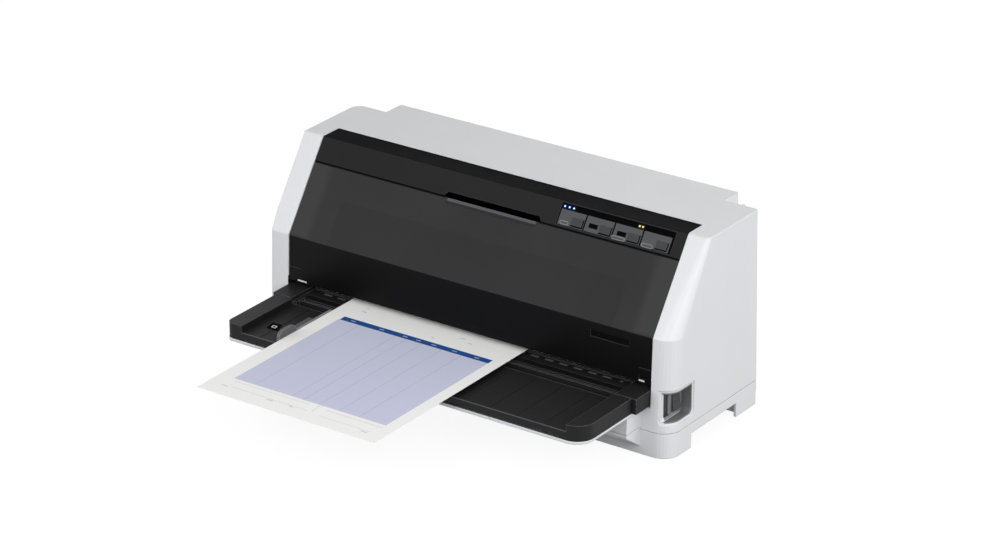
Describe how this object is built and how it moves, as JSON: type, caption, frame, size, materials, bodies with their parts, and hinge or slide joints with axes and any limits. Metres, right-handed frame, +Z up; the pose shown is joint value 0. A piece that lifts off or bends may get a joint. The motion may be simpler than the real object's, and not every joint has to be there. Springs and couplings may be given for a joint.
{
  "type": "dot matrix printer",
  "caption": "Flatbed dot matrix printer with a hinged smoked front cover, front paper tray, control keys, print carriage, feed rollers and a rear push tractor.",
  "frame": {"origin": "middle of the part's footprint, on the table", "axes": "+X to the right along the casing's width, +Y to the rear, +Z up"},
  "size_m": [0.48, 0.496, 0.2084],
  "materials": {
    "case_white": "fine matt texture",
    "band_black": "satin black",
    "cover_smoke": "smoked, satin",
    "tray_black": "matt black",
    "plate_grey": "printed film",
    "key_grey": "satin",
    "light_lens": "lit light guide",
    "bezel_grey": "smooth grey",
    "black_plastic": "moulded",
    "sheet_paper": "uncoated print paper",
    "foot_rubber": "matt",
    "roller_rubber": "ground rubber",
    "zinc_steel": "zinc plated",
    "ground_steel": "ground shaft",
    "head_aluminium": "die cast",
    "belt_rubber": "toothed belt",
    "gear_plastic": "natural acetal",
    "pinion_brass": "machined",
    "motor_can": "black can",
    "circuit_board": "solder mask",
    "port_grey": "moulded",
    "knob_blue": "moulded",
    "lever_grey": "moulded"
  },
  "bodies": {
    "chassis": {"lower_case": "case_white", "upper_case": "case_white", "control_band": "band_black", "control_plate": "plate_grey", "panel_board": "circuit_board", "status_lights": "light_lens", "hinge_pins": "zinc_steel", "front_tray": "tray_black", "tray_under_plate": "case_white", "grounding_bar": "zinc_steel", "switch_bezel": "bezel_grey", "switch_body": "black_plastic", "rubber_feet": "foot_rubber", "case_screws": "zinc_steel", "base_plate": "zinc_steel", "side_frames": "zinc_steel", "carriage_shaft": "ground_steel", "front_rail": "zinc_steel", "platen_bar": "zinc_steel", "platen_strip": "foot_rubber", "paper_guide": "zinc_steel", "ribbon_cartridge": "black_plastic", "drive_belt": "belt_rubber", "carriage_motor": "motor_can", "feed_motor": "motor_can", "main_board": "circuit_board", "interface_ports": "port_grey", "power_supply": "zinc_steel", "ac_inlet": "black_plastic", "tractor_frame": "black_plastic"},
    "cover": {"front_cover": "cover_smoke"},
    "key_1": {"key_1": "key_grey"},
    "key_2": {"key_2": "key_grey"},
    "key_3": {"key_3": "key_grey"},
    "key_4": {"key_4": "key_grey"},
    "rocker": {"power_rocker": "key_grey"},
    "edge_guide": {"edge_guide": "tray_black"},
    "sheet": {"paper_sheet": "sheet_paper"},
    "carriage": {"carriage": "black_plastic", "print_head": "head_aluminium", "ribbon_mask": "zinc_steel"},
    "drive_pulley": {"drive_pulley": "gear_plastic"},
    "idler_pulley": {"idler_pulley": "gear_plastic"},
    "front_feed_roller": {"front_feed_roller": "roller_rubber"},
    "rear_feed_roller": {"rear_feed_roller": "roller_rubber"},
    "front_pinch_roller": {"front_pinch_roller": "roller_rubber"},
    "rear_pinch_roller": {"rear_pinch_roller": "roller_rubber"},
    "middle_gear": {"middle_gear": "gear_plastic"},
    "transfer_gear": {"transfer_gear": "gear_plastic"},
    "motor_pinion": {"motor_pinion": "pinion_brass"},
    "ribbon_knob": {"ribbon_knob": "knob_blue"},
    "tractor_shaft": {"tractor_shaft": "ground_steel"},
    "left_tractor": {"left_tractor": "black_plastic"},
    "right_tractor": {"right_tractor": "black_plastic"},
    "left_pin_wheel": {"left_pin_wheel": "gear_plastic"},
    "right_pin_wheel": {"right_pin_wheel": "gear_plastic"},
    "left_tractor_lid": {"left_tractor_lid": "black_plastic"},
    "right_tractor_lid": {"right_tractor_lid": "black_plastic"},
    "left_lock_lever": {"left_lock_lever": "lever_grey"},
    "right_lock_lever": {"right_lock_lever": "lever_grey"}
  },
  "joints": [
    {"name": "cover_hinge", "type": "hinge", "parent": "chassis", "child": "cover", "pos_m": [0, -0.0035, 0.08], "axis": [1, 0, 0], "range_deg": [0, 90]},
    {"name": "key_1_press", "type": "slide", "parent": "chassis", "child": "key_1", "axis": [0, 0.8227, -0.5684], "range_m": [0, 0.0006], "stiffness_N_per_m": 900},
    {"name": "key_2_press", "type": "slide", "parent": "chassis", "child": "key_2", "axis": [0, 0.8227, -0.5684], "range_m": [0, 0.0006], "stiffness_N_per_m": 900},
    {"name": "key_3_press", "type": "slide", "parent": "chassis", "child": "key_3", "axis": [0, 0.8227, -0.5684], "range_m": [0, 0.0006], "stiffness_N_per_m": 900},
    {"name": "key_4_press", "type": "slide", "parent": "chassis", "child": "key_4", "axis": [0, 0.8227, -0.5684], "range_m": [0, 0.0006], "stiffness_N_per_m": 900},
    {"name": "power_rocker_tilt", "type": "hinge", "parent": "chassis", "child": "rocker", "pos_m": [0.2287, 0.0094, 0.0548], "axis": [0, 1, 0], "range_deg": [0, 14]},
    {"name": "edge_guide_slide", "type": "slide", "parent": "chassis", "child": "edge_guide", "axis": [1, 0, 0], "range_m": [-0.03, 0]},
    {"name": "sheet_feed", "type": "slide", "parent": "chassis", "child": "sheet", "axis": [0, 1, 0], "range_m": [-0.06, 0.1]},
    {"name": "carriage_slide", "type": "slide", "parent": "chassis", "child": "carriage", "axis": [1, 0, 0], "range_m": [-0.14, 0.14]},
    {"name": "drive_pulley_spin", "type": "hinge", "parent": "chassis", "child": "drive_pulley", "pos_m": [0.172, 0.118, 0.086], "axis": [0, 0, 1], "continuous": true},
    {"name": "idler_pulley_spin", "type": "hinge", "parent": "chassis", "child": "idler_pulley", "pos_m": [-0.172, 0.118, 0.086], "axis": [0, 0, 1], "continuous": true},
    {"name": "front_roller_spin", "type": "hinge", "parent": "chassis", "child": "front_feed_roller", "pos_m": [0, 0.018, 0.0577], "axis": [1, 0, 0], "continuous": true},
    {"name": "rear_roller_spin", "type": "hinge", "parent": "chassis", "child": "rear_feed_roller", "pos_m": [0, 0.088, 0.0577], "axis": [1, 0, 0], "continuous": true},
    {"name": "front_pinch_spin", "type": "hinge", "parent": "chassis", "child": "front_pinch_roller", "pos_m": [0, 0.018, 0.0736], "axis": [1, 0, 0], "continuous": true},
    {"name": "rear_pinch_spin", "type": "hinge", "parent": "chassis", "child": "rear_pinch_roller", "pos_m": [0, 0.088, 0.0736], "axis": [1, 0, 0], "continuous": true},
    {"name": "middle_gear_spin", "type": "hinge", "parent": "chassis", "child": "middle_gear", "pos_m": [0, 0.053, 0.0577], "axis": [1, 0, 0], "continuous": true},
    {"name": "transfer_gear_spin", "type": "hinge", "parent": "chassis", "child": "transfer_gear", "pos_m": [0, 0.12592, 0.0601], "axis": [1, 0, 0], "continuous": true},
    {"name": "motor_pinion_spin", "type": "hinge", "parent": "chassis", "child": "motor_pinion", "pos_m": [0, 0.0332, 0.0379], "axis": [1, 0, 0], "continuous": true},
    {"name": "ribbon_knob_turn", "type": "hinge", "parent": "chassis", "child": "ribbon_knob", "pos_m": [-0.15, 0.116, 0.14], "axis": [0, 0, 1], "continuous": true},
    {"name": "tractor_shaft_spin", "type": "hinge", "parent": "chassis", "child": "tractor_shaft", "pos_m": [0, 0.175, 0.05053], "axis": [1, 0, 0], "continuous": true},
    {"name": "left_tractor_slide", "type": "slide", "parent": "chassis", "child": "left_tractor", "axis": [1, 0, 0], "range_m": [-0.03, 0.06]},
    {"name": "left_pin_wheel_spin", "type": "hinge", "parent": "left_tractor", "child": "left_pin_wheel", "pos_m": [-0.14, 0.175, 0.05053], "axis": [1, 0, 0], "continuous": true},
    {"name": "left_lid_hinge", "type": "hinge", "parent": "left_tractor", "child": "left_tractor_lid", "pos_m": [-0.1545, 0.175, 0.0701], "axis": [0, -1, 0], "range_deg": [0, 100]},
    {"name": "left_lock_turn", "type": "hinge", "parent": "left_tractor", "child": "left_lock_lever", "pos_m": [-0.1583, 0.218, 0.05053], "axis": [-1, 0, 0], "range_deg": [0, 60]},
    {"name": "right_tractor_slide", "type": "slide", "parent": "chassis", "child": "right_tractor", "axis": [1, 0, 0], "range_m": [-0.06, 0.03]},
    {"name": "right_pin_wheel_spin", "type": "hinge", "parent": "right_tractor", "child": "right_pin_wheel", "pos_m": [0.105, 0.175, 0.05053], "axis": [1, 0, 0], "continuous": true},
    {"name": "right_lid_hinge", "type": "hinge", "parent": "right_tractor", "child": "right_tractor_lid", "pos_m": [0.1195, 0.175, 0.0701], "axis": [0, 1, 0], "range_deg": [0, 100]},
    {"name": "right_lock_turn", "type": "hinge", "parent": "right_tractor", "child": "right_lock_lever", "pos_m": [0.1233, 0.218, 0.05053], "axis": [-1, 0, 0], "range_deg": [0, 60]}
  ],
  "couplings": [
    {"joint": "drive_pulley_spin", "follows": "carriage_slide", "rad_per_m": 156.25},
    {"joint": "idler_pulley_spin", "follows": "carriage_slide", "rad_per_m": 156.25},
    {"joint": "rear_roller_spin", "follows": "front_roller_spin", "ratio": 1},
    {"joint": "middle_gear_spin", "follows": "front_roller_spin", "ratio": -0.75},
    {"joint": "motor_pinion_spin", "follows": "front_roller_spin", "ratio": 1.875},
    {"joint": "transfer_gear_spin", "follows": "front_roller_spin", "ratio": -0.65217},
    {"joint": "tractor_shaft_spin", "follows": "front_roller_spin", "ratio": 0.55556},
    {"joint": "left_pin_wheel_spin", "follows": "front_roller_spin", "ratio": 0.55556},
    {"joint": "right_pin_wheel_spin", "follows": "front_roller_spin", "ratio": 0.55556},
    {"joint": "front_pinch_spin", "follows": "front_roller_spin", "ratio": -1.5},
    {"joint": "rear_pinch_spin", "follows": "front_roller_spin", "ratio": -1.5}
  ]
}
